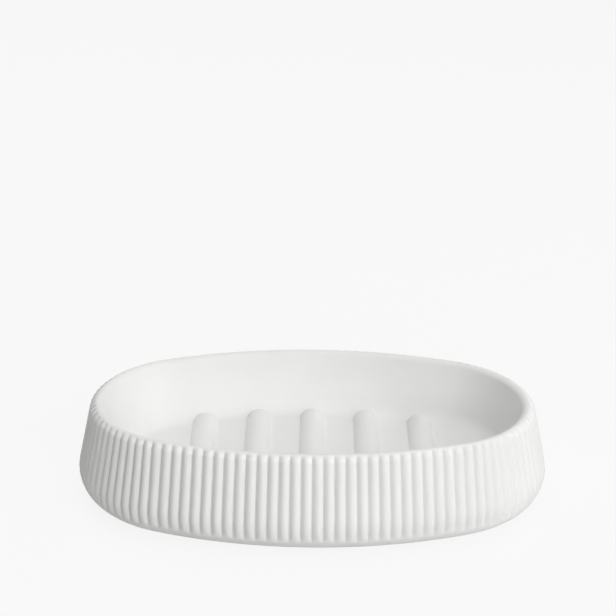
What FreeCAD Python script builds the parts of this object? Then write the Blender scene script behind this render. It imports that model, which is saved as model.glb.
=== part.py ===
"""Oval soap dish with a fluted outer wall.

The dish is one casting. Its plan outline is a four-centre oval: two end arcs and two
long side arcs that meet in common tangents. The wall leans inwards as it rises and is
dressed with half-round flutes all round. The flutes run out over the rounded rim at
the top and over the large rounding of the foot. Five low domed ridges cross the floor
of the bowl to keep the soap out of its water. The underside has a shallow recess
inside a broad foot ring, and the ring has four round seats for non-slip pads.

The wall is made one arc of the oval at a time. A wall section is turned about the arc's
centre, and the row of flutes is trimmed by it. The two arcs are then mirrored.

Lengths are in millimetres. Up is +Z, the long axis is X, and the origin is the centre
of the footprint on the surface that the pads stand on.
"""

import FreeCAD, Part
import math
import os

import Sketcher

OUTPUT_FOLDER = "parts"
os.makedirs(OUTPUT_FOLDER, exist_ok=True)

doc = FreeCAD.newDocument("soap_dish")


# Driving dimensions

DIMENSIONS = [
    # plan outline at the widest level
    ("half_length", "65"),
    ("half_width", "39.1"),
    ("side_swell", "5.8"),
    # outer wall
    ("overall_height", "28.3"),
    ("wall_lean_angle", "12.4"),
    ("foot_radius", "8.65"),
    # flutes
    ("flute_depth", "1.1"),
    ("flute_setback", "0.12"),
    ("flutes_per_end", "28"),
    ("flutes_per_side", "30"),
    # rim
    ("rim_outer_radius", "2.3"),
    ("rim_inner_radius", "1.7"),
    # bowl
    ("floor_thickness", "6.8"),
    ("bowl_lean_angle", "18"),
    ("bowl_fillet", "5.3"),
    # floor ridges
    ("ridge_count", "5"),
    ("ridge_pitch", "15.5"),
    ("ridge_width", "7.2"),
    ("ridge_height", "2.5"),
    ("ridge_half_length", "26.4"),
    ("ridge_end_sweep", "140"),
    # underside
    ("foot_ring_width", "10"),
    ("recess_depth", "4"),
    ("recess_draft_angle", "12"),
    # non-slip pads
    ("pad_diameter", "8"),
    ("pad_thickness", "1.2"),
    ("pad_stand_off", "0.6"),
    ("pad_seat_clearance", "0.15"),
    ("pad_bearing_angle", "45"),
    # construction
    ("cut_overrun", "0.5"),
    ("centre_overlap", "4"),
]

sizes = doc.addObject("Spreadsheet::Sheet", "sizes")
for row, (alias, text) in enumerate(DIMENSIONS, start=1):
    cell = "B" + str(row)
    sizes.set("A" + str(row), alias)
    sizes.set(cell, text)
    sizes.setAlias(cell, alias)
doc.recompute()


def value(expression):
    """The number that an expression on the sheet stands for."""
    result = sizes.evalExpression(expression.replace("sizes.", ""))
    return float(getattr(result, "Value", result))


def size(alias):
    """One driving dimension."""
    return value("sizes." + alias)


def group(expression):
    """An expression in brackets, ready to stand inside another."""
    return "(" + expression + ")"


# The four-centre oval, as expressions on the sheet

LEAN = "sizes.wall_lean_angle * 1deg"
BOWL_LEAN = "sizes.bowl_lean_angle * 1deg"

END_RADIUS = group("sizes.half_width - sizes.side_swell")
END_CENTRE = group("sizes.half_length - " + END_RADIUS)
SIDE_RADIUS = group(
    "(sizes.half_length * sizes.half_length + sizes.half_width * sizes.half_width"
    " - 2 * sizes.half_length * " + END_RADIUS + ") / (2 * sizes.side_swell)"
)
SIDE_CENTRE = group(SIDE_RADIUS + " - sizes.half_width")
CENTRE_DISTANCE = group(SIDE_RADIUS + " - " + END_RADIUS)
END_HALF_ANGLE = group("atan(" + SIDE_CENTRE + " / " + END_CENTRE + ") / 1deg")
SIDE_HALF_ANGLE = group("90 - " + END_HALF_ANGLE)

# Where a section of each arc starts, where it ends inside, and where it turns about
END_ARC = ("sizes.half_length", END_CENTRE, END_CENTRE)
SIDE_ARC = ("sizes.half_width", "-sizes.centre_overlap", group("-" + SIDE_CENTRE))


# Levels, and insets from the widest outline

FOOT_LEVEL = "sizes.pad_stand_off"
WIDEST_LEVEL = group("sizes.pad_stand_off + sizes.foot_radius")
FLOOR_LEVEL = group("sizes.pad_stand_off + sizes.recess_depth + sizes.floor_thickness")
WALL_FOOT_LEVEL = group(WIDEST_LEVEL + " + sizes.foot_radius * sin(" + LEAN + ")")
WALL_FOOT_INSET = group("sizes.foot_radius * (1 - cos(" + LEAN + "))")


def wall_inset(level):
    """Inset of the leaning wall line from the widest outline, at a level."""
    rise = group(level + " - " + WALL_FOOT_LEVEL)
    return group(WALL_FOOT_INSET + " + " + rise + " * tan(" + LEAN + ")")


# Sketch helpers

def arc(centre, radius):
    """An edge of an outline that is part of a circle."""
    return (centre, radius)


LINE = None


def draw_outline(sketch, corners, edges):
    """Draw a closed outline whose corners and radii are bound to the sheet.

    Edge number i runs from corner i to the next one. It is a LINE or an arc.
    """
    count = len(corners)
    spots = [(value(across), value(up)) for across, up in corners]
    starts = []
    ends = []
    for index in range(count):
        first = FreeCAD.Vector(*spots[index], 0)
        last = FreeCAD.Vector(*spots[(index + 1) % count], 0)
        if edges[index] is LINE:
            geometry = sketch.addGeometry(Part.LineSegment(first, last), False)
            starts.append((geometry, 1))
            ends.append((geometry, 2))
            continue
        centre_texts, radius = edges[index]
        centre = FreeCAD.Vector(value(centre_texts[0]), value(centre_texts[1]), 0)
        circle = Part.Circle(centre, FreeCAD.Vector(0, 0, 1), value(radius))
        start_angle = math.atan2(first.y - centre.y, first.x - centre.x)
        end_angle = math.atan2(last.y - centre.y, last.x - centre.x)
        turn = (end_angle - start_angle) % (2 * math.pi)
        forwards = turn < math.pi
        if not forwards:
            start_angle, end_angle = end_angle, start_angle
        geometry = sketch.addGeometry(Part.ArcOfCircle(circle, start_angle, end_angle), False)
        starts.append((geometry, 1 if forwards else 2))
        ends.append((geometry, 2 if forwards else 1))
        number = sketch.addConstraint(Sketcher.Constraint("Radius", geometry, value(radius)))
        bind_constraint(sketch, number, "radius_" + str(index), radius)
    for index in range(count):
        following = (index + 1) % count
        sketch.addConstraint(Sketcher.Constraint("Coincident", *ends[index], *starts[following]))
    for index, (across, up) in enumerate(corners):
        for direction, text, coordinate in (("DistanceX", across, 0), ("DistanceY", up, 1)):
            constraint = Sketcher.Constraint(direction, -1, 1, *starts[index], spots[index][coordinate])
            number = sketch.addConstraint(constraint)
            bind_constraint(sketch, number, direction + "_" + str(index), text)


def bind_constraint(sketch, number, name, expression):
    """Name a constraint and bind it to the sheet."""
    sketch.renameConstraint(number, name)
    sketch.setExpression("Constraints." + name, expression)


def origin_plane(body, role):
    """One of the body's own origin planes or axes."""
    return next(item for item in body.Origin.OriginFeatures if item.Role == role)


def new_sketch(body, name, role, lift=None):
    """A sketch on one of the body's origin planes, raised by an expression."""
    sketch = body.newObject("Sketcher::SketchObject", name)
    sketch.AttachmentSupport = (origin_plane(body, role), [""])
    sketch.MapMode = "FlatFace"
    if lift is not None:
        sketch.setExpression("AttachmentOffset.Base.z", lift)
    return sketch


def add_axis(sketch, across):
    """A vertical construction line that a section turns about."""
    place = value(across)
    foot = FreeCAD.Vector(place, 0, 0)
    head = FreeCAD.Vector(place, size("overall_height"), 0)
    line = sketch.addGeometry(Part.LineSegment(foot, head), True)
    sketch.addConstraint(Sketcher.Constraint("PointOnObject", line, 1, -1))
    sketch.addConstraint(Sketcher.Constraint("Vertical", line))
    number = sketch.addConstraint(Sketcher.Constraint("DistanceX", -1, 1, line, 1, place))
    bind_constraint(sketch, number, "axis_place", across)
    number = sketch.addConstraint(Sketcher.Constraint("DistanceY", line, 1, line, 2, head.y))
    bind_constraint(sketch, number, "axis_length", "sizes.overall_height")


def turn_section(body, name, role, section, outermost, innermost, axis_place, half_angle):
    """Turn a wall section about one centre of the oval, through that centre's arc.

    The section gives insets from the widest outline and levels. A corner whose inset is
    None lies on the section's inner side.
    """
    corners = []
    for inset, level in section["corners"]:
        across = innermost if inset is None else group(outermost + " - " + inset)
        corners.append((across, level))
    edges = []
    for edge in section["edges"]:
        if edge is LINE:
            edges.append(LINE)
            continue
        (inset, level), radius = edge
        edges.append(arc((group(outermost + " - " + inset), level), radius))
    sketch = new_sketch(body, name + "_section", role)
    draw_outline(sketch, corners, edges)
    add_axis(sketch, axis_place)
    turned = body.newObject("PartDesign::Revolution", name)
    turned.Profile = sketch
    turned.ReferenceAxis = (sketch, ["Axis0"])
    turned.Midplane = True
    turned.setExpression("Angle", "2 * " + half_angle)
    return turned


# Wall sections

def envelope_section():
    """Section of the smooth envelope: rounded foot, wall, rounded rim and open bowl."""
    outer_end_level = group("sizes.overall_height - sizes.rim_outer_radius * (1 - sin(" + LEAN + "))")
    outer_end_inset = wall_inset(outer_end_level)
    crown_inset = group(outer_end_inset + " + sizes.rim_outer_radius * cos(" + LEAN + ")")
    inner_end_level = group("sizes.overall_height - sizes.rim_inner_radius * (1 - sin(" + BOWL_LEAN + "))")
    inner_end_inset = group(crown_inset + " + sizes.rim_inner_radius * cos(" + BOWL_LEAN + ")")
    fillet_end_level = group(FLOOR_LEVEL + " + sizes.bowl_fillet * (1 - sin(" + BOWL_LEAN + "))")
    drop = group(inner_end_level + " - " + fillet_end_level)
    fillet_end_inset = group(inner_end_inset + " + " + drop + " * tan(" + BOWL_LEAN + ")")
    floor_edge_inset = group(fillet_end_inset + " + sizes.bowl_fillet * cos(" + BOWL_LEAN + ")")
    corners = [
        (None, FOOT_LEVEL),
        ("sizes.foot_radius", FOOT_LEVEL),
        (WALL_FOOT_INSET, WALL_FOOT_LEVEL),
        (outer_end_inset, outer_end_level),
        (crown_inset, "sizes.overall_height"),
        (inner_end_inset, inner_end_level),
        (fillet_end_inset, fillet_end_level),
        (floor_edge_inset, FLOOR_LEVEL),
        (None, FLOOR_LEVEL),
    ]
    foot_centre = ("sizes.foot_radius", WIDEST_LEVEL)
    outer_centre = (crown_inset, group("sizes.overall_height - sizes.rim_outer_radius"))
    inner_centre = (crown_inset, group("sizes.overall_height - sizes.rim_inner_radius"))
    fillet_centre = (floor_edge_inset, group(FLOOR_LEVEL + " + sizes.bowl_fillet"))
    edges = [
        LINE,
        arc(foot_centre, "sizes.foot_radius"),
        LINE,
        arc(outer_centre, "sizes.rim_outer_radius"),
        arc(inner_centre, "sizes.rim_inner_radius"),
        LINE,
        arc(fillet_centre, "sizes.bowl_fillet"),
        LINE,
        LINE,
    ]
    return {"corners": corners, "edges": edges}


# Flutes

def flute_measures(radius, pitch):
    """Radius of the crests and of a flute at the wall's foot, and the flutes' common level.

    A flute is a slender cone. All the cones of an arc share the point that the wall's own
    cone rises to, so the flutes narrow together as the wall leans in. A flute's radius at
    the wall's foot is the one that gives its grooves their depth.
    """
    crest_radius = group(radius + " - " + WALL_FOOT_INSET + " - sizes.flute_setback")
    groove_radius = group(crest_radius + " - sizes.flute_depth")
    groove_reach = group(groove_radius + " * cos(" + pitch + " * 1deg / 2)")
    flute_radius = group(
        "(" + crest_radius + " * " + crest_radius + " + " + groove_radius + " * " + groove_radius
        + " - 2 * " + crest_radius + " * " + groove_reach + ")"
        " / (2 * (" + crest_radius + " - " + groove_reach + "))"
    )
    apex_level = group(WALL_FOOT_LEVEL + " + " + crest_radius + " / tan(" + LEAN + ")")
    return crest_radius, flute_radius, apex_level


def core_section(radius, pitch):
    """Section of the plain core behind the grooves. It runs through the flutes' axes."""
    crest_radius, flute_radius, apex_level = flute_measures(radius, pitch)
    bottom = group(FOOT_LEVEL + " - sizes.cut_overrun")
    top = group("sizes.overall_height + sizes.cut_overrun")
    axes_radius = group(crest_radius + " - " + flute_radius)
    corners = [(None, bottom)]
    for level in (bottom, top):
        narrowing = group("(" + apex_level + " - " + level + ") * tan(" + LEAN + ") / " + crest_radius)
        corners.append((group(radius + " - " + axes_radius + " * " + narrowing), level))
    corners.append((None, top))
    return {"corners": corners, "edges": [LINE] * len(corners)}


def flute_half_section(radius, pitch):
    """Half of one flute, cut along its axis, in the plane of an arc's own axis."""
    crest_radius, flute_radius, apex_level = flute_measures(radius, pitch)
    taper = group("asin(" + flute_radius + " * sin(" + LEAN + ") / " + crest_radius + ")")
    axis_lean = group(LEAN + " - " + taper)
    inner_lean = group(axis_lean + " - " + taper)
    crest_distance = group(crest_radius + " / sin(" + LEAN + ")")
    below = group(WALL_FOOT_LEVEL + " / cos(" + LEAN + ") + sizes.cut_overrun")
    foot = group(crest_distance + " * cos(" + taper + ") + " + below)
    rise = group("sizes.overall_height + " + flute_radius + " + 2 * sizes.cut_overrun")
    head = group(foot + " - " + rise + " / cos(" + axis_lean + ")")

    def spot(distance, lean):
        across = group(distance + " * sin(" + lean + ")")
        level = group(apex_level + " - " + distance + " * cos(" + lean + ")")
        return (across, level)

    corners = [
        spot(foot, axis_lean),
        spot(head, axis_lean),
        spot(group(head + " / cos(" + taper + ")"), inner_lean),
        spot(group(foot + " / cos(" + taper + ")"), inner_lean),
    ]
    return corners, [LINE] * len(corners)


def flute_row(name, role, arc_place, radius, half_angle, count):
    """The plain core of one arc of the oval, with its row of flutes."""
    body = doc.addObject("PartDesign::Body", name + "_flutes")
    pitch = group("2 * " + half_angle + " / " + count)
    turn_section(body, name + "_core", role, core_section(radius, pitch), *arc_place, half_angle)
    sketch = new_sketch(body, name + "_flute_half_section", role)
    upright = FreeCAD.Rotation(FreeCAD.Vector(0, 1, 0), 0)
    sketch.AttachmentOffset = FreeCAD.Placement(FreeCAD.Vector(), upright)
    centre = arc_place[-1]
    sketch.setExpression("AttachmentOffset.Base.x", centre)
    sketch.setExpression("AttachmentOffset.Rotation.Axis.y", "1")
    first_bearing = group(pitch + " / 2 - " + half_angle)
    sketch.setExpression("AttachmentOffset.Rotation.Angle", first_bearing)
    draw_outline(sketch, *flute_half_section(radius, pitch))
    flute = body.newObject("PartDesign::Revolution", name + "_flute")
    flute.Profile = sketch
    flute.ReferenceAxis = (sketch, ["Edge1"])
    flute.Angle = 360
    doc.recompute()
    row = body.newObject("PartDesign::PolarPattern", name + "_flute_row")
    row.Originals = [flute]
    row.Axis = (sketch, ["V_Axis"])
    row.setExpression("Angle", "2 * " + half_angle + " - " + pitch)
    row.setExpression("Occurrences", count)
    body.Tip = row
    return body


def fluted_sector(name, role, arc_place, radius, half_angle, count):
    """One arc of the oval: its row of flutes, trimmed to the smooth wall and rim."""
    envelope = doc.addObject("PartDesign::Body", name + "_envelope")
    turn_section(envelope, name + "_wall", role, envelope_section(), *arc_place, half_angle)
    sector = doc.addObject("Part::Common", name + "_sector")
    sector.Base = flute_row(name, role, arc_place, radius, half_angle, count)
    sector.Tool = envelope
    return sector


def opposite(sector, normal):
    """The same arc on the other side of the dish."""
    mirrored = doc.addObject("Part::Mirroring", "opposite_" + sector.Name)
    mirrored.Source = sector
    mirrored.Normal = normal
    return mirrored


end_sector = fluted_sector(
    "end", "XZ_Plane", END_ARC, END_RADIUS, END_HALF_ANGLE, "sizes.flutes_per_end"
)
side_sector = fluted_sector(
    "side", "YZ_Plane", SIDE_ARC, SIDE_RADIUS, SIDE_HALF_ANGLE, "sizes.flutes_per_side"
)
sectors = [
    end_sector,
    side_sector,
    opposite(end_sector, FreeCAD.Vector(1, 0, 0)),
    opposite(side_sector, FreeCAD.Vector(0, 1, 0)),
]


# Floor ridges

def ridge_rod(index):
    """One domed ridge: a long rod with ball ends, sunk in the floor to its dome."""
    half = "sizes.ridge_width / 2"
    dome_radius = group(
        "(" + half + " * " + half + " + sizes.ridge_height * sizes.ridge_height)"
        " / (2 * sizes.ridge_height)"
    )
    axis_level = group(FLOOR_LEVEL + " + sizes.ridge_height - " + dome_radius)
    across = group("(" + str(index) + " - (sizes.ridge_count - 1) / 2) * sizes.ridge_pitch")
    sweep = group(across + " * " + across + " / (2 * sizes.ridge_end_sweep)")
    reach = group("sizes.ridge_half_length - " + half + " - " + sweep)
    rod = doc.addObject("Part::Cylinder", "ridge_rod_" + str(index))
    rod.setExpression("Radius", dome_radius)
    rod.setExpression("Height", "2 * " + reach)
    rod.Placement = FreeCAD.Placement(FreeCAD.Vector(), FreeCAD.Rotation(FreeCAD.Vector(1, 0, 0), -90))
    rod.setExpression("Placement.Base.x", across)
    rod.setExpression("Placement.Base.y", "-" + reach)
    rod.setExpression("Placement.Base.z", axis_level)
    pieces = [rod]
    for name, sign in (("front", "-"), ("rear", "")):
        ball = doc.addObject("Part::Sphere", "ridge_" + name + "_end_" + str(index))
        ball.setExpression("Radius", dome_radius)
        ball.setExpression("Placement.Base.x", across)
        ball.setExpression("Placement.Base.y", sign + reach)
        ball.setExpression("Placement.Base.z", axis_level)
        pieces.append(ball)
    ridge = doc.addObject("Part::MultiFuse", "ridge_" + str(index))
    ridge.Shapes = pieces
    return ridge


ridges = [ridge_rod(index) for index in range(int(size("ridge_count")))]

casting = doc.addObject("Part::MultiFuse", "casting")
casting.Shapes = sectors + ridges


# Underside recess

def oval_corners_and_edges(inset):
    """The plan oval drawn in from the widest outline by an inset."""
    end_radius = group(END_RADIUS + " - " + inset)
    side_radius = group(SIDE_RADIUS + " - " + inset)
    joint_x = group(END_CENTRE + " + " + end_radius + " * " + END_CENTRE + " / " + CENTRE_DISTANCE)
    joint_y = group(end_radius + " * " + SIDE_CENTRE + " / " + CENTRE_DISTANCE)
    corners = [
        (joint_x, "-" + joint_y),
        (joint_x, joint_y),
        ("-" + joint_x, joint_y),
        ("-" + joint_x, "-" + joint_y),
    ]
    edges = [
        arc((END_CENTRE, "0"), end_radius),
        arc(("0", "-" + SIDE_CENTRE), side_radius),
        arc(("-" + END_CENTRE, "0"), end_radius),
        arc(("0", SIDE_CENTRE), side_radius),
    ]
    return corners, edges


RING_INNER_INSET = group("sizes.foot_radius + sizes.foot_ring_width")

recess = doc.addObject("PartDesign::Body", "recess_tool")
recess_sketch = new_sketch(recess, "recess_outline", "XY_Plane", FOOT_LEVEL)
draw_outline(recess_sketch, *oval_corners_and_edges(RING_INNER_INSET))
recess_pad = recess.newObject("PartDesign::Pad", "recess_form")
recess_pad.Profile = recess_sketch
recess_pad.setExpression("Length", "sizes.recess_depth")
recess_pad.setExpression("TaperAngle", "-sizes.recess_draft_angle")
doc.recompute()


# Non-slip pads and their seats

PAD_BEARING = "sizes.pad_bearing_angle * 1deg"
PAD_REACH = group(END_RADIUS + " - sizes.foot_radius - sizes.foot_ring_width / 2")
PAD_X = group(END_CENTRE + " + " + PAD_REACH + " * cos(" + PAD_BEARING + ")")
PAD_Y = group(PAD_REACH + " * sin(" + PAD_BEARING + ")")
PAD_PLACES = [
    ("front_left", "-", "-"),
    ("front_right", "", "-"),
    ("rear_left", "-", ""),
    ("rear_right", "", ""),
]


def place_on_ring(item, sign_x, sign_y, level=None):
    """Put a pad, or a seat, at its bearing on the foot ring."""
    item.setExpression("Placement.Base.x", sign_x + PAD_X)
    item.setExpression("Placement.Base.y", sign_y + PAD_Y)
    if level is not None:
        item.setExpression("Placement.Base.z", level)


def pad_seat(name, sign_x, sign_y):
    """The round seat that a pad is pressed into, open downwards."""
    seat = doc.addObject("Part::Cylinder", "seat_" + name)
    seat.setExpression("Radius", "sizes.pad_diameter / 2 + sizes.pad_seat_clearance")
    seat.setExpression("Height", "sizes.pad_thickness - sizes.pad_stand_off + sizes.cut_overrun")
    place_on_ring(seat, sign_x, sign_y, group("sizes.pad_stand_off - sizes.cut_overrun"))
    return seat


def non_slip_pad(name, sign_x, sign_y):
    """One round die-cut pad, standing on the surface."""
    body = doc.addObject("PartDesign::Body", "foot_pad_" + name)
    body.Label = "foot_pad_" + name
    sketch = new_sketch(body, "pad_outline_" + name, "XY_Plane")
    radius = "sizes.pad_diameter / 2"
    circle = Part.Circle(FreeCAD.Vector(), FreeCAD.Vector(0, 0, 1), value(radius))
    geometry = sketch.addGeometry(circle, False)
    sketch.addConstraint(Sketcher.Constraint("Coincident", geometry, 3, -1, 1))
    number = sketch.addConstraint(Sketcher.Constraint("Radius", geometry, value(radius)))
    bind_constraint(sketch, number, "pad_radius", radius)
    disc = body.newObject("PartDesign::Pad", "pad_disc_" + name)
    disc.Profile = sketch
    disc.setExpression("Length", "sizes.pad_thickness")
    doc.recompute()
    place_on_ring(body, sign_x, sign_y)
    return body


seats = [pad_seat(*place) for place in PAD_PLACES]
pads = [non_slip_pad(*place) for place in PAD_PLACES]

underside = doc.addObject("Part::MultiFuse", "underside_tools")
underside.Shapes = [recess] + seats

hollowed = doc.addObject("Part::Cut", "hollowed_casting")
hollowed.Base = casting
hollowed.Tool = underside

dish = doc.addObject("Part::Refine", "dish")
dish.Label = "dish"
dish.Source = hollowed
doc.recompute()


# Checks and export

for item in doc.Objects:
    faults = {"Invalid", "Error"} & set(item.State)
    if faults:
        raise RuntimeError(item.Name + " failed to build: " + ", ".join(sorted(faults)))

for item in [dish] + pads:
    shape = item.Shape
    if shape.isNull() or not shape.isValid():
        raise RuntimeError(item.Label + " has no valid shape")
    if len(shape.Solids) != 1:
        raise RuntimeError(item.Label + " is not one solid")
    shape.exportStep(os.path.join(OUTPUT_FOLDER, item.Label + ".step"))
    box = shape.optimalBoundingBox(False)
    print(
        f"{item.Label}: {shape.Volume:.1f} mm3, {len(shape.Faces)} faces, "
        f"X {box.XMin:.2f} to {box.XMax:.2f}, Y {box.YMin:.2f} to {box.YMax:.2f}, "
        f"Z {box.ZMin:.2f} to {box.ZMax:.2f}"
    )
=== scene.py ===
# %% [markdown]
# # A fluted oval soap dish
#
# The dish is one heavy casting in a white, matt, stone-like resin. Its plan is an oval
# drawn with four arcs. The wall leans in as it rises and is covered with half-round
# flutes that run out over a rounded rim. Five low domed ridges stand on the floor of
# the bowl, and four small rubber pads under the foot keep the dish from sliding.
#
# Everything is in metres. Up is Z and the long axis is X. The sizes below are written
# in millimetres and turned into metres where a mesh is made.

# %% Load the frame
import math

import bpy
from mathutils import Matrix, Vector


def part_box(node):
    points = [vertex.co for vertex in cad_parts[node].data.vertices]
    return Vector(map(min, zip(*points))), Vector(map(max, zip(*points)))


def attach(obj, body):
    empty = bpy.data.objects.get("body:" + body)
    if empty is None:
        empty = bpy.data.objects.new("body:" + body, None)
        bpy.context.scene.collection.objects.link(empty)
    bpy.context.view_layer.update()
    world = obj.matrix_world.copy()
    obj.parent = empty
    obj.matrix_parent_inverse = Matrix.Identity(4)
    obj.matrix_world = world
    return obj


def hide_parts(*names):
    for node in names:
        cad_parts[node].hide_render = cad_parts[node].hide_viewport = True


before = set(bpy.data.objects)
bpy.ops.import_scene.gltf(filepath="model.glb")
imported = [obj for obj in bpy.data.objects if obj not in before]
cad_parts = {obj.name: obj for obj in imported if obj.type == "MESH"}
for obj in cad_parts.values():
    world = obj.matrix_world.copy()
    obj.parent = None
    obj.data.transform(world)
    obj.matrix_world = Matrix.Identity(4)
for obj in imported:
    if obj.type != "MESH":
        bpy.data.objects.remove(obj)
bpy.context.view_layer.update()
MM = 0.001
WELD_DISTANCE = 0.001 * MM
dish_low, dish_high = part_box("dish")
print("dish box in mm:", [round(edge / MM, 2) for edge in (*dish_low, *dish_high)])

# %% [markdown]
# ## The plan oval
#
# A four-centre oval is how a pattern maker draws this shape with a compass. Two end
# arcs sit on the long axis, and two long side arcs join them on common tangents. One
# number, the swell of the sides past the end arcs, decides how full the oval looks.

# %% Values of the plan oval
HALF_LENGTH = 65.0
HALF_WIDTH = 39.1
SIDE_SWELL = 5.8
END_RADIUS = HALF_WIDTH - SIDE_SWELL
END_CENTRE = HALF_LENGTH - END_RADIUS
SIDE_RADIUS = (
    HALF_LENGTH ** 2 + HALF_WIDTH ** 2 - 2 * HALF_LENGTH * END_RADIUS
) / (2 * SIDE_SWELL)
SIDE_CENTRE = SIDE_RADIUS - HALF_WIDTH
END_HALF_ANGLE = math.atan2(SIDE_CENTRE, END_CENTRE)
SIDE_HALF_ANGLE = math.pi / 2 - END_HALF_ANGLE
print("end arc radius", round(END_RADIUS, 2), "side arc radius", round(SIDE_RADIUS, 2))

# %% [markdown]
# ## The wall section
#
# The section is the outline that a cut through the wall would show. Each point has an
# inset, which is its distance in from the widest outline, and a level above the table.
# The list runs from the middle of the underside, round the foot, up the wall, over the
# rim, down into the bowl and across its floor. Corners are small arcs, because a real
# mould has no sharp edges, and a soft edge is what catches the light.

# %% Values of the section
FOOT_LEVEL = dish_low.z / MM
TOP_LEVEL = dish_high.z / MM
WALL_LEAN = math.radians(12.4)
FOOT_ROUNDING = 8.65
RIM_OUTER_RADIUS = 2.3
RIM_INNER_RADIUS = 1.7
BOWL_LEAN = math.radians(18)
BOWL_FILLET = 5.3
FLOOR_LEVEL = 11.4
FOOT_RING_WIDTH = 10.0
RECESS_LEVEL = 4.6
RECESS_DRAFT = math.radians(12)
EDGE_EASE = 0.25
FLUTE_ENDS_AT_FOOT = (-34, -14)
FLUTE_ENDS_AT_RIM = (88, 46)

# How many stretches each part of the section is drawn with
FOOT_STEPS = 10
FLUTED_FOOT_STEPS = 22
WALL_STEPS = 6
RIM_OUTER_STEPS = 18
RIM_INNER_STEPS = 10
BOWL_STEPS = 4
FILLET_STEPS = 11

WIDEST_LEVEL = FOOT_LEVEL + FOOT_ROUNDING
WALL_FOOT_LEVEL = WIDEST_LEVEL + FOOT_ROUNDING * math.sin(WALL_LEAN)
WALL_FOOT_INSET = FOOT_ROUNDING * (1 - math.cos(WALL_LEAN))


def wall_inset(level):
    """Inset of the leaning wall line at a level."""
    return WALL_FOOT_INSET + (level - WALL_FOOT_LEVEL) * math.tan(WALL_LEAN)


def even_steps(start, end, steps):
    """Evenly spaced numbers, both ends with them."""
    return [start + (end - start) * step / steps for step in range(steps + 1)]


def arc_points(centre, radius, start, end, steps):
    """Points along an arc of the section. Angles are in degrees up from outwards."""
    points = []
    for degrees in even_steps(start, end, steps):
        angle = math.radians(degrees)
        points.append((centre[0] - radius * math.cos(angle), centre[1] + radius * math.sin(angle)))
    return points


def smooth_share(value, none_at, all_at):
    """A share that rises smoothly from 0 at one value to 1 at another."""
    share = min(max((value - none_at) / (all_at - none_at), 0), 1)
    return share * share * (3 - 2 * share)


def line_points(start, end, steps):
    """Points along a straight part of the section, its two ends left out."""
    return [
        (start[0] + (end[0] - start[0]) * step / steps, start[1] + (end[1] - start[1]) * step / steps)
        for step in range(1, steps)
    ]


# %% Draw the section
ring_inner_inset = FOOT_ROUNDING + FOOT_RING_WIDTH
recess_corner = (ring_inner_inset + (RECESS_LEVEL - FOOT_LEVEL) * math.tan(RECESS_DRAFT), RECESS_LEVEL)
underside = [
    (END_RADIUS, RECESS_LEVEL),
    (recess_corner[0] + 4 * EDGE_EASE, RECESS_LEVEL),
    (recess_corner[0] + EDGE_EASE, RECESS_LEVEL),
    (recess_corner[0] - EDGE_EASE * math.tan(RECESS_DRAFT), RECESS_LEVEL - EDGE_EASE),
    (ring_inner_inset + EDGE_EASE * math.tan(RECESS_DRAFT), FOOT_LEVEL + EDGE_EASE),
    (ring_inner_inset - EDGE_EASE, FOOT_LEVEL),
    (ring_inner_inset - 3 * EDGE_EASE, FOOT_LEVEL),
    (FOOT_ROUNDING + 2 * EDGE_EASE, FOOT_LEVEL),
]
foot_centre = (FOOT_ROUNDING, WIDEST_LEVEL)
lean_degrees = math.degrees(WALL_LEAN)
foot = arc_points(foot_centre, FOOT_ROUNDING, -90, FLUTE_ENDS_AT_FOOT[0], FOOT_STEPS)[:-1]
fluted_foot = arc_points(
    foot_centre, FOOT_ROUNDING, FLUTE_ENDS_AT_FOOT[0], lean_degrees, FLUTED_FOOT_STEPS
)

rim_outer_end_level = TOP_LEVEL - RIM_OUTER_RADIUS * (1 - math.sin(WALL_LEAN))
rim_inset = wall_inset(rim_outer_end_level) + RIM_OUTER_RADIUS * math.cos(WALL_LEAN)
wall_top = (wall_inset(rim_outer_end_level), rim_outer_end_level)
wall = line_points(fluted_foot[-1], wall_top, WALL_STEPS)
rim_outer = arc_points(
    (rim_inset, TOP_LEVEL - RIM_OUTER_RADIUS), RIM_OUTER_RADIUS, lean_degrees, 90, RIM_OUTER_STEPS
)
fluted_part = fluted_foot + wall + rim_outer

# How far each point of the fluted part faces up, and how much of the flutes it shows
foot_tilts = even_steps(FLUTE_ENDS_AT_FOOT[0], lean_degrees, FLUTED_FOOT_STEPS)
rim_tilts = even_steps(lean_degrees, 90, RIM_OUTER_STEPS)
tilts = foot_tilts + [lean_degrees] * len(wall) + rim_tilts
flute_shares = [
    smooth_share(tilt, *FLUTE_ENDS_AT_FOOT) * smooth_share(tilt, *FLUTE_ENDS_AT_RIM) for tilt in tilts
]

bowl_lean_degrees = math.degrees(BOWL_LEAN)
rim_inner = arc_points(
    (rim_inset, TOP_LEVEL - RIM_INNER_RADIUS), RIM_INNER_RADIUS, 90, 180 - bowl_lean_degrees, RIM_INNER_STEPS
)[1:]
bowl_top = rim_inner[-1]
fillet_end_level = FLOOR_LEVEL + BOWL_FILLET * (1 - math.sin(BOWL_LEAN))
fillet_start = (bowl_top[0] + (bowl_top[1] - fillet_end_level) * math.tan(BOWL_LEAN), fillet_end_level)
floor_edge = fillet_start[0] + BOWL_FILLET * math.cos(BOWL_LEAN)
bowl_fillet = arc_points(
    (floor_edge, FLOOR_LEVEL + BOWL_FILLET), BOWL_FILLET, -bowl_lean_degrees, -90, FILLET_STEPS
)
bowl = line_points(bowl_top, fillet_start, BOWL_STEPS) + bowl_fillet
floor = [(floor_edge + 2 * EDGE_EASE, FLOOR_LEVEL), (END_RADIUS, FLOOR_LEVEL)]

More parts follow.
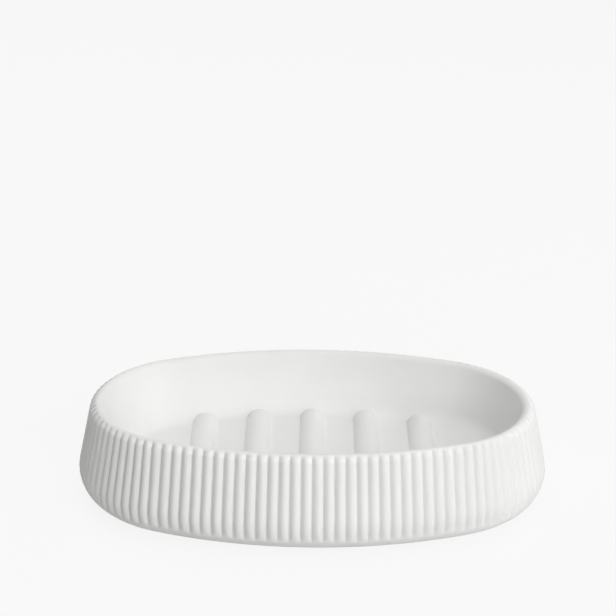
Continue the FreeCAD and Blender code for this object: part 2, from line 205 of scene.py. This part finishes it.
section = underside + foot + fluted_part + rim_inner + bowl + floor
rows_before = len(underside + foot)
rows_after = len(section) - rows_before - len(fluted_part)
tilts = [0] * rows_before + tilts + [0] * rows_after
flute_shares = [0] * rows_before + flute_shares + [0] * rows_after
print(len(section), "rows in the section,", len(fluted_part), "of them fluted")
print("crown of the rim at inset", round(rim_inset, 2))

# %% [markdown]
# ## Helpers for building node trees
#
# A Geometry Nodes tree is a recipe, and building it in a script keeps the recipe and
# its sizes in one place. The sums in such a tree are easier to read as sums than as a
# list of nodes and links. So a small class stands for a value that comes out of a node,
# and adding or multiplying two of them makes the Math node and its links.

# %% A value in a tree that can be added and multiplied
class Field:
    """A value that comes out of a node. Sums of fields make Math nodes."""

    def __init__(self, tree, socket):
        self.tree = tree
        self.socket = socket

    def __add__(self, other):
        return maths(self.tree, "ADD", self, other)

    def __sub__(self, other):
        return maths(self.tree, "SUBTRACT", self, other)

    def __mul__(self, other):
        return maths(self.tree, "MULTIPLY", self, other)

    def __truediv__(self, other):
        return maths(self.tree, "DIVIDE", self, other)


def feed(tree, socket, value):
    """Give a node's socket a field, another node's output or a plain value."""
    if isinstance(value, Field):
        value = value.socket
    if isinstance(value, bpy.types.NodeSocket):
        tree.links.new(value, socket)
    else:
        socket.default_value = value


def maths(tree, operation, *values):
    """One Math node, and its result as a field."""
    node = tree.nodes.new("ShaderNodeMath")
    node.operation = operation
    for socket, value in zip(node.inputs, values):
        feed(tree, socket, value)
    return Field(tree, node.outputs[0])


def add_node(tree, kind, settings=None, **inputs):
    """Add a node. Input names have their spaces written as underscores."""
    node = tree.nodes.new(kind)
    for name, value in (settings or {}).items():
        setattr(node, name, value)
    for name, value in inputs.items():
        wanted = name.replace("_", " ").lower()
        socket = next(item for item in node.inputs if item.name.lower() == wanted and item.enabled)
        feed(tree, socket, value)
    return node


# %% Start a tree, read its inputs and finish it
def start_tree(name, inputs):
    """A new tree with named inputs, given as name and socket kind."""
    tree = bpy.data.node_groups.new(name, "GeometryNodeTree")
    tree.interface.new_socket(name="Geometry", in_out="OUTPUT", socket_type="NodeSocketGeometry")
    for label, kind in inputs.items():
        tree.interface.new_socket(name=label, in_out="INPUT", socket_type="NodeSocket" + kind)
    entrance = tree.nodes.new("NodeGroupInput")
    fields = {item.name: Field(tree, item) for item in entrance.outputs if item.name}
    return tree, fields


def finish_tree(tree, geometry, material):
    """End a tree in Realize Instances and Set Material."""
    solid = add_node(tree, "GeometryNodeRealizeInstances", Geometry=geometry)
    painted = add_node(tree, "GeometryNodeSetMaterial", Geometry=solid.outputs[0], Material=material)
    leave = tree.nodes.new("NodeGroupOutput")
    tree.links.new(painted.outputs[0], leave.inputs[0])


def read_row(tree, source, row, name=None):
    """One row of a drawn section: its position, or one of its named values."""
    points = add_node(tree, "GeometryNodeObjectInfo", Object=source).outputs["Geometry"]
    kind = "FLOAT" if name else "FLOAT_VECTOR"
    if name:
        value = add_node(tree, "GeometryNodeInputNamedAttribute", {"data_type": kind}, Name=name).outputs[0]
    else:
        value = tree.nodes.new("GeometryNodeInputPosition").outputs[0]
    sample = add_node(
        tree, "GeometryNodeSampleIndex", {"data_type": kind}, Geometry=points, Value=value, Index=row
    )
    return sample.outputs[0]


def count_grid(tree, columns, rows):
    """A flat grid, with the column and the row that each of its points belongs to."""
    grid = add_node(
        tree, "GeometryNodeMeshGrid",
        Size_X=columns - 1.0, Size_Y=rows - 1.0, Vertices_X=columns, Vertices_Y=rows,
    )
    place = tree.nodes.new("GeometryNodeInputPosition").outputs[0]
    apart = add_node(tree, "ShaderNodeSeparateXYZ", Vector=place)
    column = maths(tree, "ROUND", Field(tree, apart.outputs[0]) + (columns - 1.0) * 0.5)
    row = maths(tree, "ROUND", Field(tree, apart.outputs[1]) + (rows - 1.0) * 0.5)
    return grid.outputs["Mesh"], column, row


# %% Draw points for a tree to read, and turn a tree's result into a mesh
def drawn_points(name, points, **named_values):
    """A hidden object with one point for each place, and named values on the points."""
    mesh = bpy.data.meshes.new(name)
    mesh.from_pydata([Vector(point) * MM for point in points], [], [])
    for label, values in named_values.items():
        attribute = mesh.attributes.new(label, "FLOAT", "POINT")
        attribute.data.foreach_set("value", [float(value) for value in values])
    drawing = bpy.data.objects.new(name, mesh)
    bpy.context.scene.collection.objects.link(drawing)
    return drawing


def grow(name, tree, **values):
    """Run a tree with the given inputs, and keep its result as a plain mesh object."""
    seed = bpy.data.objects.new(name, bpy.data.meshes.new(name))
    bpy.context.scene.collection.objects.link(seed)
    modifier = seed.modifiers.new(tree.name, "NODES")
    modifier.node_group = tree
    for item in tree.interface.items_tree:
        if item.in_out == "INPUT" and item.name.replace(" ", "_") in values:
            modifier[item.identifier] = values[item.name.replace(" ", "_")]
    bpy.context.view_layer.update()
    depsgraph = bpy.context.evaluated_depsgraph_get()
    mesh = bpy.data.meshes.new_from_object(seed.evaluated_get(depsgraph), depsgraph=depsgraph)
    seed.modifiers.remove(modifier)
    seed.data = mesh
    print(name, "has", len(mesh.vertices), "points and", len(mesh.polygons), "faces")
    return seed


# %% [markdown]
# ## Two finishes
#
# The casting is filled resin. It is white all through, matt, with a surface that feels
# like fine stone. Three things tell it from plain white plastic: a very fine tooth in
# the surface, a slow waviness where the mould was polished by hand, and a faint cloudy
# change of tone. Each comes from a Noise texture on Object coordinates, so the pattern
# keeps its real scale. The pads are grey rubber with a moulded tooth.

# %% Helpers for a finish
def start_finish(name, colour, roughness):
    """A material with its Principled shader and Object coordinates."""
    material = bpy.data.materials.new(name)
    material.use_nodes = True
    tree = material.node_tree
    shader = tree.nodes["Principled BSDF"]
    shader.inputs["Base Color"].default_value = (*colour, 1)
    shader.inputs["Roughness"].default_value = roughness
    place = tree.nodes.new("ShaderNodeTexCoord").outputs["Object"]
    return material, tree, shader, place


def noise(tree, place, grain_size, detail):
    """Noise whose grains are about as large as the given size in metres."""
    node = add_node(tree, "ShaderNodeTexNoise", Vector=place, Scale=1 / grain_size, Detail=detail)
    return Field(tree, node.outputs["Fac"])


def spread(tree, value, lowest, highest):
    """Noise, which keeps to the middle of its range, spread between two numbers."""
    node = add_node(
        tree, "ShaderNodeMapRange", Value=value, From_Min=0.3, From_Max=0.7, To_Min=lowest, To_Max=highest
    )
    return node.outputs[0]


def mix_colours(tree, amount, first, second):
    """A colour between two others."""
    node = tree.nodes.new("ShaderNodeMix")
    node.data_type = "RGBA"
    feed(tree, node.inputs[0], amount)
    feed(tree, node.inputs[6], (*first, 1))
    feed(tree, node.inputs[7], (*second, 1))
    return node.outputs[2]


def raise_surface(tree, shader, *heights):
    """Bump the surface by heights in metres, each given with its noise."""
    total = None
    for value, height in heights:
        total = value * height if total is None else total + value * height
    bump = add_node(tree, "ShaderNodeBump", Height=total, Distance=1.0, Strength=1.0)
    tree.links.new(bump.outputs[0], shader.inputs["Normal"])


# %% The cast resin
CASTING_COLOUR = (0.835, 0.835, 0.825)
CASTING_CLOUD_COLOUR = (0.865, 0.863, 0.855)
CASTING_ROUGHNESS = (0.44, 0.58)
CASTING_SHINE = 0.4

# Sizes and heights in metres
CLOUD_SIZE = 0.018
WAVE_SIZE = 0.009
WAVE_HEIGHT = 0.00008
TOOTH_SIZE = 0.0005
TOOTH_HEIGHT = 0.000012

casting_finish, tree, shader, place = start_finish("cast_resin", CASTING_COLOUR, 0.5)
clouds = noise(tree, place, CLOUD_SIZE, 3)
tooth = noise(tree, place, TOOTH_SIZE, 2)
waviness = noise(tree, place, WAVE_SIZE, 1)
tree.links.new(
    mix_colours(tree, spread(tree, clouds, 0.0, 1.0), CASTING_COLOUR, CASTING_CLOUD_COLOUR),
    shader.inputs["Base Color"],
)
tree.links.new(spread(tree, tooth, *CASTING_ROUGHNESS), shader.inputs["Roughness"])
shader.inputs["Specular IOR Level"].default_value = CASTING_SHINE
raise_surface(tree, shader, (tooth, TOOTH_HEIGHT), (waviness, WAVE_HEIGHT))
print("casting finish made")

# %% The rubber of the pads
RUBBER_COLOUR = (0.342, 0.342, 0.330)
RUBBER_WORN_COLOUR = (0.400, 0.400, 0.388)
RUBBER_ROUGHNESS = (0.72, 0.9)

# Sizes and heights in metres
PATCH_SIZE = 0.004
GRAIN_SIZE = 0.0006
GRAIN_HEIGHT = 0.00004

rubber_finish, tree, shader, place = start_finish("pad_rubber", RUBBER_COLOUR, 0.8)
grain = noise(tree, place, GRAIN_SIZE, 3)
patches = noise(tree, place, PATCH_SIZE, 2)
tree.links.new(
    mix_colours(tree, spread(tree, patches, 0.0, 1.0), RUBBER_COLOUR, RUBBER_WORN_COLOUR),
    shader.inputs["Base Color"],
)
tree.links.new(spread(tree, grain, *RUBBER_ROUGHNESS), shader.inputs["Roughness"])
raise_surface(tree, shader, (grain, GRAIN_HEIGHT))
print("rubber finish made")

# %% [markdown]
# ## Forms that are turned and repeated
#
# The ridges on the floor, the pads and the seats that the pads are pressed into are all
# one idea: a small section carried round a point, and the result repeated at a few
# places. A ridge is such a turned form pulled apart in the middle, which gives the rod
# with round ends. A lathe function could make each one, but one tree with a list of
# places makes all three, and a change of pitch or section needs one number.

# %% The tree for turned forms
def build_turned_forms():
    """Carry a section round each place, and pull the form apart along Y."""
    tree, value = start_tree("turned_forms", {
        "Section": "Object", "Rows": "Int", "Columns": "Int", "Places": "Object", "Finish": "Material",
    })
    grid, column, row = count_grid(tree, value["Columns"] + 1.0, value["Rows"])
    point = add_node(tree, "ShaderNodeSeparateXYZ", Vector=read_row(tree, value["Section"], row))
    radius = Field(tree, point.outputs[0])
    # Half a column on, so that no column lies on the line where the form is pulled apart
    bearing = (column + 0.5) / value["Columns"] * math.tau
    across = radius * maths(tree, "COSINE", bearing)
    along = radius * maths(tree, "SINE", bearing)
    turned = add_node(tree, "ShaderNodeCombineXYZ", X=across, Y=along, Z=point.outputs[2])
    form = add_node(tree, "GeometryNodeSetPosition", Geometry=grid, Position=turned.outputs[0])
    welded = add_node(tree, "GeometryNodeMergeByDistance", Geometry=form.outputs[0], Distance=WELD_DISTANCE)

    places = add_node(tree, "GeometryNodeObjectInfo", Object=value["Places"]).outputs["Geometry"]
    repeated = add_node(tree, "GeometryNodeInstanceOnPoints", Points=places, Instance=welded.outputs[0])
    solid = add_node(tree, "GeometryNodeRealizeInstances", Geometry=repeated.outputs[0])
    spot = tree.nodes.new("GeometryNodeInputPosition").outputs[0]
    side = maths(tree, "SIGN", Field(tree, add_node(tree, "ShaderNodeSeparateXYZ", Vector=spot).outputs[1]))
    reach = add_node(tree, "GeometryNodeInputNamedAttribute", {"data_type": "FLOAT"}, Name="reach").outputs[0]
    pull = add_node(tree, "ShaderNodeCombineXYZ", Y=side * Field(tree, reach))
    pulled = add_node(tree, "GeometryNodeSetPosition", Geometry=solid.outputs[0], Offset=pull.outputs[0])
    smooth = add_node(tree, "GeometryNodeSetShadeSmooth", Geometry=pulled.outputs[0], Shade_Smooth=True)
    finish_tree(tree, smooth.outputs[0], value["Finish"])
    return tree


turned_forms = build_turned_forms()


def turn_forms(name, outline, columns, places, reaches, finish):
    """Make turned forms from an outline of radius and level, one at each place."""
    drawn_section = drawn_points(name + "_section", [(radius, 0, level) for radius, level in outline])
    drawn_places = drawn_points(name + "_places", places, reach=[reach * MM for reach in reaches])
    made = grow(
        name, turned_forms, Section=drawn_section, Rows=len(outline), Columns=columns,
        Places=drawn_places, Finish=finish,
    )
    bpy.data.objects.remove(drawn_section)
    bpy.data.objects.remove(drawn_places)
    return made


# %% [markdown]
# ## The soap ridges
#
# The ridges lift the soap out of the water that drips off it. Each is a low dome in
# section with round ends, and it meets the floor in a small hollow curve, because the
# mould was cut with a round-nosed tool. The outer ridges are a little shorter, as they
# follow the oval of the bowl. Their ends run out on the curve between floor and wall.

# %% Ridge section and places
RIDGE_COUNT = 5
RIDGE_PITCH = 15.5
RIDGE_WIDTH = 7.2
RIDGE_HEIGHT = 2.5
RIDGE_HALF_LENGTH = 26.4
RIDGE_END_SWEEP = 140.0
RIDGE_FOOT_RADIUS = 0.4
RIDGE_COLUMNS = 48
HOLLOW_START = -97
HOLLOW_STEPS = 5
DOME_STEPS = 9

# The root goes into the floor and is a little wider than the ridge that shows
ROOT_DEPTH = 1.0
ROOT_OVERHANG = 0.3
SHOULDER_DEPTH = 0.05
SHOULDER_OVERHANG = 0.35

dome_radius = ((RIDGE_WIDTH / 2) ** 2 + RIDGE_HEIGHT ** 2) / (2 * RIDGE_HEIGHT)
dome_level = FLOOR_LEVEL + RIDGE_HEIGHT - dome_radius
hollow_level = FLOOR_LEVEL + RIDGE_FOOT_RADIUS
hollow_radius = math.sqrt((dome_radius + RIDGE_FOOT_RADIUS) ** 2 - (hollow_level - dome_level) ** 2)
meeting_angle = math.degrees(math.atan2(hollow_level - dome_level, hollow_radius))
ridge_outline = [
    (0, FLOOR_LEVEL - ROOT_DEPTH),
    (hollow_radius + ROOT_OVERHANG, FLOOR_LEVEL - ROOT_DEPTH),
    (hollow_radius + SHOULDER_OVERHANG, FLOOR_LEVEL - SHOULDER_DEPTH),
]
for degrees in even_steps(HOLLOW_START, meeting_angle - 180, HOLLOW_STEPS)[:-1]:
    angle = math.radians(degrees)
    ridge_outline.append((
        hollow_radius + RIDGE_FOOT_RADIUS * math.cos(angle),
        hollow_level + RIDGE_FOOT_RADIUS * math.sin(angle),
    ))
for degrees in even_steps(meeting_angle, 90, DOME_STEPS):
    angle = math.radians(degrees)
    ridge_outline.append((dome_radius * math.cos(angle), dome_level + dome_radius * math.sin(angle)))
# The top lies exactly on the axis, so that the dome closes
ridge_outline[-1] = (0, FLOOR_LEVEL + RIDGE_HEIGHT)

ridge_places = [((index - (RIDGE_COUNT - 1) / 2) * RIDGE_PITCH, 0, 0) for index in range(RIDGE_COUNT)]
ridge_reaches = [
    RIDGE_HALF_LENGTH - RIDGE_WIDTH / 2 - place[0] ** 2 / (2 * RIDGE_END_SWEEP) for place in ridge_places
]
ridges = turn_forms(
    "soap_ridges", ridge_outline, RIDGE_COLUMNS, ridge_places, ridge_reaches, casting_finish
)

# %% [markdown]
# ## Pads and their seats
#
# The pads are punched from rubber sheet and pressed into four round seats in the foot
# ring. Half of each pad stands proud, so the casting never touches the shelf. The
# edges of a punched pad are slightly rounded, and the seat is a little wider than it.

# %% Pads and seats
PAD_RADIUS = 4.0
PAD_THICKNESS = (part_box("foot_pad_front_left")[1].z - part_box("foot_pad_front_left")[0].z) / MM
PAD_EASE = 0.2
PAD_EDGE_STEPS = 4
PAD_COLUMNS = 64
SEAT_CLEARANCE = 0.15
pad_nodes = ["foot_pad_" + name for name in ("front_left", "front_right", "rear_left", "rear_right")]
pad_places = []
for node in pad_nodes:
    lowest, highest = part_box(node)
    pad_places.append(((lowest.x + highest.x) / 2 / MM, (lowest.y + highest.y) / 2 / MM, 0))

pad_outline = [(0, 0), (PAD_RADIUS - 3 * PAD_EASE, 0)]
for start, level in ((-90, PAD_EASE), (0, PAD_THICKNESS - PAD_EASE)):
    for degrees in even_steps(start, start + 90, PAD_EDGE_STEPS):
        angle = math.radians(degrees)
        pad_outline.append((
            PAD_RADIUS - PAD_EASE + PAD_EASE * math.cos(angle), level + PAD_EASE * math.sin(angle)
        ))
pad_outline += [(PAD_RADIUS - 3 * PAD_EASE, PAD_THICKNESS), (0, PAD_THICKNESS)]
no_reach = [0] * len(pad_places)
pads = turn_forms("non_slip_pads", pad_outline, PAD_COLUMNS, pad_places, no_reach, rubber_finish)

seat_radius = PAD_RADIUS + SEAT_CLEARANCE
seat_outline = [(0, 0), (seat_radius, 0), (seat_radius, PAD_THICKNESS), (0, PAD_THICKNESS)]
seats = turn_forms("pad_seats", seat_outline, PAD_COLUMNS, pad_places, no_reach, casting_finish)

# %% [markdown]
# ## The fluted casting
#
# The wall, the rim and the bowl follow one rule: a section carried round the oval,
# with the outer part of it pushed in between the flutes. So the main piece is a tree
# too. It starts from a flat grid. A column of the grid is a bearing round the oval, and
# a row is a point of the section. Eight columns go to each flute, and they crowd near
# the groove, where the surface turns fastest.
#
# A flute is a slender cone, and all the flutes of one arc of the oval share the point
# that the leaning wall rises to. That is why they get narrower towards the rim without
# a change in their number. The flutes follow the wall round its foot and over its rim.
# They could be cut off square there, but on the real dish they run out softly, so their
# depth shrinks to nothing along the two roundings. The depth is measured square to the
# wall, because otherwise the grooves would close up where the wall turns. Two cones
# meet in a sharp groove, but a mould leaves it a little rounded, so the depth levels off
# before it reaches its full value.

# %% Values of the flutes
FLUTES_PER_END = 28
FLUTES_PER_SIDE = 30
FLUTE_DEPTH = 1.1
FLUTE_SETBACK = 0.05
GROOVE_LIMIT = 0.82
GROOVE_SOFTNESS = 0.7
COLUMNS_PER_FLUTE = 8
CROWDING = math.radians(74)
SHARP_ANGLE = math.radians(40)
SEAT_EDGES_UNDER = PAD_THICKNESS + 0.1
flutes_in_all = 2 * (FLUTES_PER_END + FLUTES_PER_SIDE)


def flute_radius(arc_radius, half_angle, count):
    """Radius of a flute at the foot of the wall, from the depth of its grooves."""
    crest = arc_radius - WALL_FOOT_INSET - FLUTE_SETBACK
    groove = crest - FLUTE_DEPTH
    groove_reach = groove * math.cos(half_angle / count)
    return (crest ** 2 + groove ** 2 - 2 * crest * groove_reach) / (2 * (crest - groove_reach))


end_flute_radius = flute_radius(END_RADIUS, END_HALF_ANGLE, FLUTES_PER_END)
side_flute_radius = flute_radius(SIDE_RADIUS, SIDE_HALF_ANGLE, FLUTES_PER_SIDE)
print(flutes_in_all, "flutes; radius at the ends", round(end_flute_radius, 3))
print("radius at the sides", round(side_flute_radius, 3))

# %% Where a column of the casting lies on the oval
def place_on_oval(tree, column):
    """Bearing, arc and place within its flute of each column. The last is the first."""
    column = maths(tree, "MODULO", column, flutes_in_all * COLUMNS_PER_FLUTE)
    flute = maths(tree, "FLOOR", column / COLUMNS_PER_FLUTE)
    step = column - flute * COLUMNS_PER_FLUTE
    turned = (step / COLUMNS_PER_FLUTE * 2.0 - 1.0) * CROWDING
    phase = maths(tree, "SINE", turned) / (2 * math.sin(CROWDING))
    travel = flute + phase + 0.5
    bearing = Field(tree, add_node(tree, "ShaderNodeValue").outputs[0])
    bearing.socket.default_value = -END_HALF_ANGLE
    passed = 0
    shares = []
    for count, half_angle in 2 * (
        (FLUTES_PER_END, END_HALF_ANGLE), (FLUTES_PER_SIDE, SIDE_HALF_ANGLE)
    ):
        inside = maths(tree, "MINIMUM", maths(tree, "MAXIMUM", travel - passed, 0.0), count)
        bearing = bearing + inside * (2 * half_angle / count)
        after = maths(tree, "GREATER_THAN", flute, passed - 0.5)
        before = maths(tree, "LESS_THAN", flute, passed + count - 0.5)
        passed += count
        shares.append(after * before)
    right, far, left, near = shares
    return {
        "bearing": bearing,
        "centre_x": (right - left) * (END_CENTRE * MM),
        "centre_y": (near - far) * (SIDE_CENTRE * MM),
        "on_side": far + near,
        "turn": phase * ((right + left) * (2 * END_HALF_ANGLE / FLUTES_PER_END)
                         + (far + near) * (2 * SIDE_HALF_ANGLE / FLUTES_PER_SIDE)),
    }


def between(share, first, second):
    """The first value where the share is 0, and the second where it is 1."""
    return share * (second - first) + first


# %% How deep the outer wall lies under the crests of its flutes
def flute_depth(tree, spot, plain_inset):
    """Depth of the fluted surface under the smooth wall, square to the wall."""
    arc_radius = between(spot["on_side"], END_RADIUS * MM, SIDE_RADIUS * MM)
    rod_radius = between(spot["on_side"], end_flute_radius * MM, side_flute_radius * MM)
    crest = arc_radius - (WALL_FOOT_INSET + FLUTE_SETBACK) * MM
    rod_centre = crest - rod_radius
    turn_sine = rod_centre * maths(tree, "SINE", spot["turn"])
    room = maths(tree, "MAXIMUM", rod_radius * rod_radius - turn_sine * turn_sine, 0.0)
    reach = rod_centre * maths(tree, "COSINE", spot["turn"]) + maths(tree, "SQRT", room)
    narrowing = (arc_radius - plain_inset) / arc_radius
    sharp = (crest - reach) * narrowing
    soft = maths(tree, "SMOOTH_MIN", sharp, GROOVE_LIMIT * MM, GROOVE_SOFTNESS * MM)
    return soft + FLUTE_SETBACK * MM


# %% The tree for the casting
def build_casting():
    """Carry the section round the oval, flute it, then add ridges and cut seats."""
    tree, value = start_tree("fluted_casting", {
        "Section": "Object", "Rows": "Int", "Flutes": "Int", "Ridges": "Object",
        "Seats": "Object", "Sharp Angle": "Float", "Finish": "Material",
    })
    columns = value["Flutes"] * COLUMNS_PER_FLUTE + 1.0
    grid, column, row = count_grid(tree, columns, value["Rows"])
    spot = place_on_oval(tree, column)
    point = add_node(tree, "ShaderNodeSeparateXYZ", Vector=read_row(tree, value["Section"], row))
    plain_inset = Field(tree, point.outputs[0])
    tilt = Field(tree, read_row(tree, value["Section"], row, "tilt"))
    share = Field(tree, read_row(tree, value["Section"], row, "flute_share"))
    spine = Field(tree, read_row(tree, value["Section"], row, "spine"))
    depth = flute_depth(tree, spot, plain_inset) * share
    inset = plain_inset + depth * maths(tree, "COSINE", tilt)
    level = Field(tree, point.outputs[2]) - depth * maths(tree, "SINE", tilt)
    radius = between(spot["on_side"], END_RADIUS * MM, SIDE_RADIUS * MM) - inset
    across = spot["centre_x"] + radius * maths(tree, "COSINE", spot["bearing"])
    along = spot["centre_y"] + radius * maths(tree, "SINE", spot["bearing"])
    along = along - along * spine
    place = add_node(tree, "ShaderNodeCombineXYZ", X=across, Y=along, Z=level)
    shell = add_node(tree, "GeometryNodeSetPosition", Geometry=grid, Position=place.outputs[0])
    welded = add_node(tree, "GeometryNodeMergeByDistance", Geometry=shell.outputs[0], Distance=WELD_DISTANCE)

    ridge_forms = add_node(tree, "GeometryNodeObjectInfo", Object=value["Ridges"]).outputs["Geometry"]
    seat_forms = add_node(tree, "GeometryNodeObjectInfo", Object=value["Seats"]).outputs["Geometry"]
    joined = tree.nodes.new("GeometryNodeMeshBoolean")
    joined.operation = "UNION"
    joined.solver = "MANIFOLD"
    tree.links.new(welded.outputs[0], joined.inputs["Mesh 2"])
    tree.links.new(ridge_forms, joined.inputs["Mesh 2"])
    cut = tree.nodes.new("GeometryNodeMeshBoolean")
    cut.operation = "DIFFERENCE"
    cut.solver = "MANIFOLD"
    tree.links.new(joined.outputs[0], cut.inputs["Mesh 1"])
    tree.links.new(seat_forms, cut.inputs["Mesh 2"])

    smooth = add_node(tree, "GeometryNodeSetShadeSmooth", Geometry=cut.outputs[0], Shade_Smooth=True)
    edge_angle = Field(tree, tree.nodes.new("GeometryNodeInputMeshEdgeAngle").outputs[0])
    here = add_node(
        tree, "ShaderNodeSeparateXYZ", Vector=tree.nodes.new("GeometryNodeInputPosition").outputs[0]
    )
    turns = maths(tree, "GREATER_THAN", edge_angle, value["Sharp Angle"])
    under = maths(tree, "LESS_THAN", Field(tree, here.outputs[2]), SEAT_EDGES_UNDER * MM)
    crease = add_node(
        tree, "GeometryNodeSetShadeSmooth", {"domain": "EDGE"},
        Geometry=smooth.outputs[0], Selection=turns * under, Shade_Smooth=False,
    )
    finish_tree(tree, crease.outputs[0], value["Finish"])
    return tree


# %% Make the casting
drawn_section = drawn_points(
    "casting_section", [(inset, 0, level) for inset, level in section],
    tilt=[math.radians(tilt) for tilt in tilts], flute_share=flute_shares,
    spine=[row in (0, len(section) - 1) for row in range(len(section))],
)
dish = grow(
    "dish_casting", build_casting(), Section=drawn_section, Rows=len(section), Flutes=flutes_in_all,
    Ridges=ridges, Seats=seats, Sharp_Angle=SHARP_ANGLE, Finish=casting_finish,
)
for drawing in (drawn_section, ridges, seats):
    bpy.data.objects.remove(drawing)
for piece in (dish, pads):
    weighted = piece.modifiers.new("even_shading", "WEIGHTED_NORMAL")
    weighted.keep_sharp = True
triangles = sum(len(face.vertices) - 2 for face in dish.data.polygons)
print("casting:", triangles, "triangles, materials", [slot.name for slot in dish.data.materials])

# %% Hand both pieces to the frame
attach(dish, "root")
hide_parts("dish")
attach(pads, "root")
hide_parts(*pad_nodes)

# %% [markdown]
# ## Table, backdrop and light
#
# The dish was photographed on a white sweep. The table is a matt white plane that takes
# the dish's soft shadow. To make it as light as the backdrop, it gives off part of its
# light itself, but only towards the camera and in reflections, so that it doesn't light
# the dish from below. The world does the same.
#
# The light comes from five large soft lamps. The strongest stands in front and a little
# to the right, so each flute has a bright crest between two shaded grooves, and the
# left end of the dish is a shade darker. A low one brightens the right end, and two
# lamps behind and one above fill the bowl.

# %% Table
FLOOR_REACH = 3
FLOOR_COLOUR = (0.72, 0.72, 0.72)
FLOOR_OWN_LIGHT = 0.87


def seen_directly(tree):
    """1 for camera, glossy and transmission rays, and 0 for the rest."""
    path = tree.nodes.new("ShaderNodeLightPath")
    seen = Field(tree, path.outputs["Is Camera Ray"]) + Field(tree, path.outputs["Is Glossy Ray"])
    return maths(tree, "MINIMUM", seen + Field(tree, path.outputs["Is Transmission Ray"]), 1.0)


def mix_shaders(tree, amount, first, second):
    """A shader between two others."""
    node = tree.nodes.new("ShaderNodeMixShader")
    feed(tree, node.inputs[0], amount)
    tree.links.new(first, node.inputs[1])
    tree.links.new(second, node.inputs[2])
    return node.outputs[0]


floor_finish = bpy.data.materials.new("white_sweep")
floor_finish.use_nodes = True
tree = floor_finish.node_tree
tree.nodes.remove(tree.nodes["Principled BSDF"])
matt = add_node(tree, "ShaderNodeBsdfDiffuse", Color=(*FLOOR_COLOUR, 1)).outputs[0]
glow = add_node(tree, "ShaderNodeEmission", Color=(1, 1, 1, 1), Strength=1.0).outputs[0]
shown = mix_shaders(tree, FLOOR_OWN_LIGHT, matt, glow)
tree.links.new(
    mix_shaders(tree, seen_directly(tree), matt, shown), tree.nodes["Material Output"].inputs["Surface"]
)
floor_mesh = bpy.data.meshes.new("studio_floor")
floor_corners = [(FLOOR_REACH * x, FLOOR_REACH * y, 0) for x, y in ((-1, -1), (1, -1), (1, 1), (-1, 1))]
floor_mesh.from_pydata(floor_corners, [], [(0, 1, 2, 3)])
floor_mesh.materials.append(floor_finish)
studio_floor = bpy.data.objects.new("studio_floor", floor_mesh)
bpy.context.scene.collection.objects.link(studio_floor)

# %% World
FILL_LIGHT = 0.0
world = bpy.data.worlds.new("white_studio")
world.use_nodes = True
bpy.context.scene.world = world
tree = world.node_tree
fill = tree.nodes["Background"]
fill.inputs["Color"].default_value = (1, 1, 1, 1)
fill.inputs["Strength"].default_value = FILL_LIGHT
backdrop = add_node(tree, "ShaderNodeBackground", Color=(1, 1, 1, 1), Strength=1.0)
tree.links.new(
    mix_shaders(tree, seen_directly(tree), fill.outputs[0], backdrop.outputs[0]),
    tree.nodes["World Output"].inputs["Surface"],
)


# %% Lamps
LAMPS_AIM_AT = Vector((0, 0, 0.01))
LAMP_DISTANCE = 1.1
LAMP_SIZE = 0.8
LAMPS = (
    # name, bearing from +X and height above the table in degrees, power in watts
    ("front_lamp", -71, 31, 6.6),
    ("low_right_lamp", -30, 18, 3.7),
    ("back_right_lamp", 45, 40, 2.0),
    ("back_left_lamp", 130, 42, 3.1),
    ("top_lamp", 0, 88, 3.4),
)


def soft_lamp(name, bearing, height, power):
    """A square soft lamp at the common distance, turned towards the dish."""
    light = bpy.data.lights.new(name, "AREA")
    light.shape = "SQUARE"
    light.size = LAMP_SIZE
    light.energy = power
    flat = LAMP_DISTANCE * math.cos(height)
    place = Vector((flat * math.cos(bearing), flat * math.sin(bearing), LAMP_DISTANCE * math.sin(height)))
    lamp = bpy.data.objects.new(name, light)
    lamp.location = place
    lamp.rotation_euler = (LAMPS_AIM_AT - place).to_track_quat("-Z", "Y").to_euler()
    bpy.context.scene.collection.objects.link(lamp)


for name, bearing, height, power in LAMPS:
    soft_lamp(name, math.radians(bearing), math.radians(height), power)
    print(name, power, "W")

# %% [markdown]
# ## Camera
#
# The camera looks down at the dish from the front. Its lens is long, and the dish sits
# low in the frame. So the camera is placed on a line through the origin first. Then it
# is turned until the origin falls on its pixel, and last rolled by half a degree.

# %% Camera
IMAGE_SIDE = 616
SENSOR_WIDTH = 36.0
CAMERA_ELEVATION = math.radians(28.7)
CAMERA_DISTANCE = 0.463
FOCAL_LENGTH_PIXELS = 1629.0
ORIGIN_PIXEL = (313.595, 489.35)
CAMERA_ROLL = math.radians(-0.56)

forward = Vector((0, math.cos(CAMERA_ELEVATION), -math.sin(CAMERA_ELEVATION)))
rightward = Vector((1, 0, 0))
upward = rightward.cross(forward)
facing_origin = Matrix((rightward, upward, -forward))
across = (ORIGIN_PIXEL[0] - IMAGE_SIDE / 2) / FOCAL_LENGTH_PIXELS
down = (ORIGIN_PIXEL[1] - IMAGE_SIDE / 2) / FOCAL_LENGTH_PIXELS
tilt = Matrix.Rotation(-math.atan2(down, 1.0), 3, "X")
swing = Matrix.Rotation(-math.atan2(across, math.hypot(1.0, down)), 3, "Y")
roll = Matrix.Rotation(CAMERA_ROLL, 3, "Z")
turned = (roll @ tilt @ swing @ facing_origin).transposed()

camera_data = bpy.data.cameras.new("camera")
camera_data.sensor_width = SENSOR_WIDTH
camera_data.lens = FOCAL_LENGTH_PIXELS / IMAGE_SIDE * SENSOR_WIDTH
camera = bpy.data.objects.new("camera", camera_data)
camera.matrix_world = Matrix.Translation(forward * -CAMERA_DISTANCE) @ turned.to_4x4()
bpy.context.scene.collection.objects.link(camera)
bpy.context.scene.camera = camera
print("lens", round(camera_data.lens, 1), "mm")

# %% Colour management
bpy.context.scene.view_settings.view_transform = "Standard"
